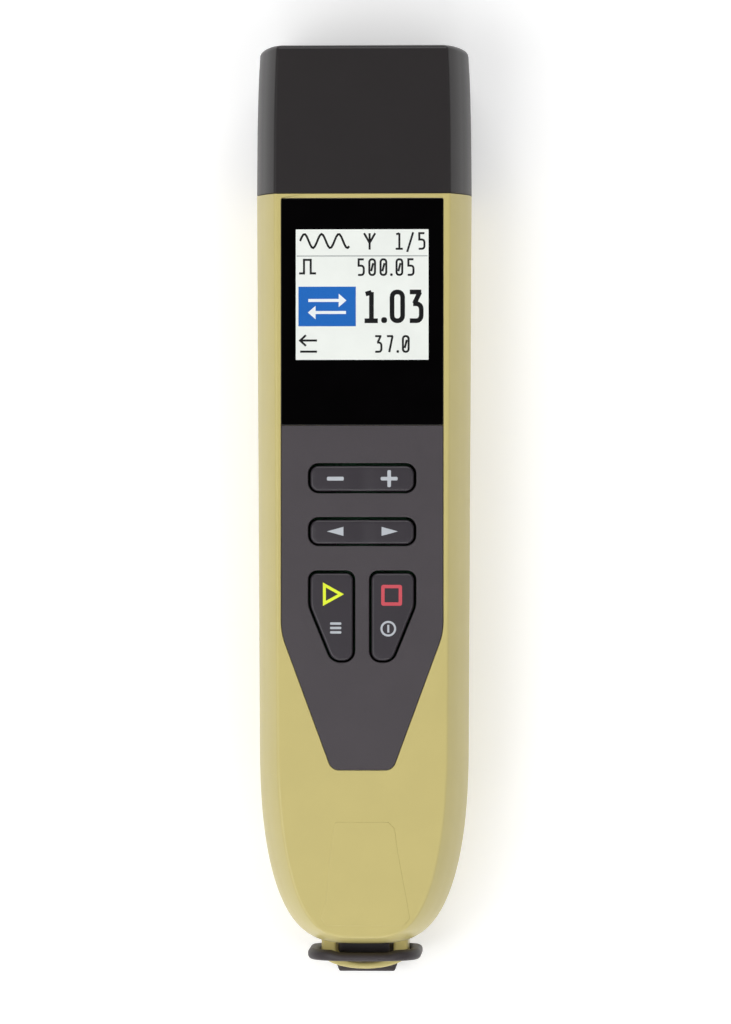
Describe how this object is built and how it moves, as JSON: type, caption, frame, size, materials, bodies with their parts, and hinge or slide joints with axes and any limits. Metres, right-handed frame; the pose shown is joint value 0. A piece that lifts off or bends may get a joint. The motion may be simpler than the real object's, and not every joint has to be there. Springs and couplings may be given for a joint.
{
  "type": "antenna analyzer",
  "caption": "Stick-shaped handheld antenna analyzer: sand two-shell case, dark cap over the antenna socket, square colour display, rocker and tapered keys, strap eye with dust cover.",
  "frame": {"origin": "under the middle of the whole object, at the height of its flat back", "axes": "+Z is the display's normal, +Y points along the body to the socket cap, +X is to the right when the display is read"},
  "size_m": [0.0448, 0.1938, 0.031],
  "materials": {
    "sand_plastic": "fine matte grain",
    "cap_plastic": "soft matte",
    "window_plastic": "high gloss",
    "plate_plastic": "fine matte grain",
    "key_plastic": "smooth matte",
    "dust_cover_rubber": "matte",
    "display_glass": "smooth, lit white picture",
    "white_plastic": "smooth",
    "board_laminate": "solder mask",
    "black_plastic": "smooth",
    "ribbon_film": "amber film",
    "nickel_plate": "satin nickel",
    "gold_plate": "gold plated",
    "steel": "plain",
    "light_metal": "cast, satin",
    "cell_wrap": "shrink sleeve",
    "seal_rubber": "matte"
  },
  "bodies": {
    "case": {"front_cover": "sand_plastic", "rear_cover": "sand_plastic", "display_window": "window_plastic", "keypad_plate": "plate_plastic", "display_panel": "display_glass", "display_frame": "white_plastic", "display_ribbon": "ribbon_film", "ribbon_connector": "white_plastic", "main_board": "board_laminate", "processor": "black_plastic", "shield_can": "nickel_plate", "buzzer": "black_plastic", "switch_minus": "black_plastic", "switch_plus": "black_plastic", "switch_left": "black_plastic", "switch_right": "black_plastic", "switch_start": "black_plastic", "switch_stop": "black_plastic", "board_screw_1": "steel", "board_screw_2": "steel", "board_screw_3": "steel", "board_screw_4": "steel", "case_screw_1": "steel", "case_screw_2": "steel", "case_screw_3": "steel", "case_screw_4": "steel", "case_seal_left": "seal_rubber", "case_seal_right": "seal_rubber", "socket_housing": "light_metal", "neck_seal": "seal_rubber", "socket_body": "nickel_plate", "socket_insulator": "white_plastic", "socket_contact": "gold_plate", "coax_lead": "black_plastic", "battery_cell": "cell_wrap", "battery_cradle": "black_plastic", "battery_contact_plus": "nickel_plate", "battery_contact_minus": "nickel_plate", "charging_socket": "steel"},
    "cap": {"socket_cap": "cap_plastic"},
    "rocker_minus_plus": {"rocker_key_minus_plus": "key_plastic", "plunger_minus": "white_plastic", "plunger_plus": "white_plastic"},
    "rocker_left_right": {"rocker_key_left_right": "key_plastic", "plunger_left": "white_plastic", "plunger_right": "white_plastic"},
    "start": {"start_key": "key_plastic", "plunger_start": "white_plastic"},
    "stop": {"stop_key": "key_plastic", "plunger_stop": "white_plastic"},
    "dust_cover": {"dust_cover": "dust_cover_rubber"}
  },
  "joints": [
    {"name": "cap_pull", "type": "slide", "parent": "case", "child": "cap", "axis": [0, 1, 0], "range_m": [0, 0.035]},
    {"name": "minus_plus_rock", "type": "hinge", "parent": "case", "child": "rocker_minus_plus", "pos_m": [0, 0.00695, 0.0284], "axis": [0, 1, 0], "range_deg": [-2, 2], "stiffness_Nm_per_rad": 0.25},
    {"name": "left_right_rock", "type": "hinge", "parent": "case", "child": "rocker_left_right", "pos_m": [0, -0.0041, 0.0284], "axis": [0, 1, 0], "range_deg": [-2, 2], "stiffness_Nm_per_rad": 0.25},
    {"name": "start_press", "type": "slide", "parent": "case", "child": "start", "axis": [0, 0, -1], "range_m": [0, 0.0005], "stiffness_N_per_m": 2000},
    {"name": "stop_press", "type": "slide", "parent": "case", "child": "stop", "axis": [0, 0, -1], "range_m": [0, 0.0005], "stiffness_N_per_m": 2000},
    {"name": "dust_cover_pull", "type": "slide", "parent": "case", "child": "dust_cover", "axis": [0, -1, 0], "range_m": [0, 0.012]}
  ]
}
